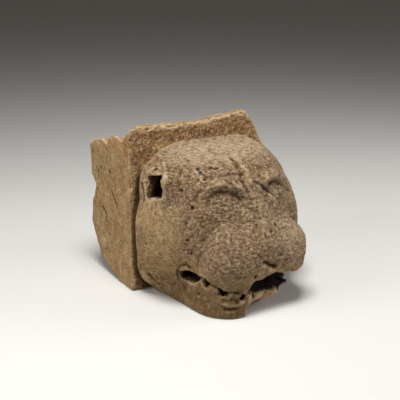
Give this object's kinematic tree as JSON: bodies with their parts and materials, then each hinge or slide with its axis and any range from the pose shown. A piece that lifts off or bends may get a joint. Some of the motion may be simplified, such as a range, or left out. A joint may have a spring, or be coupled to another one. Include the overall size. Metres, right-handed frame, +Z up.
{
  "type": "lion head gargoyle",
  "caption": "Weathered limestone lion head carved in the round from a square wall plate and rough bedding block, its jaw and plate corner broken and its ear lost from a square socket.",
  "frame": {"origin": "middle of the underside, on the ground that the block and the chin stand on", "axes": "+Z up, the face looks along -Y, the cheek with the ear socket is on the -X side"},
  "size_m": [0.344, 0.4084, 0.3393],
  "materials": {
    "limestone": "weathered and pitted, ochre with grey patina"
  },
  "bodies": {
    "root": {"lion_head_gargoyle": "limestone"}
  },
  "joints": []
}
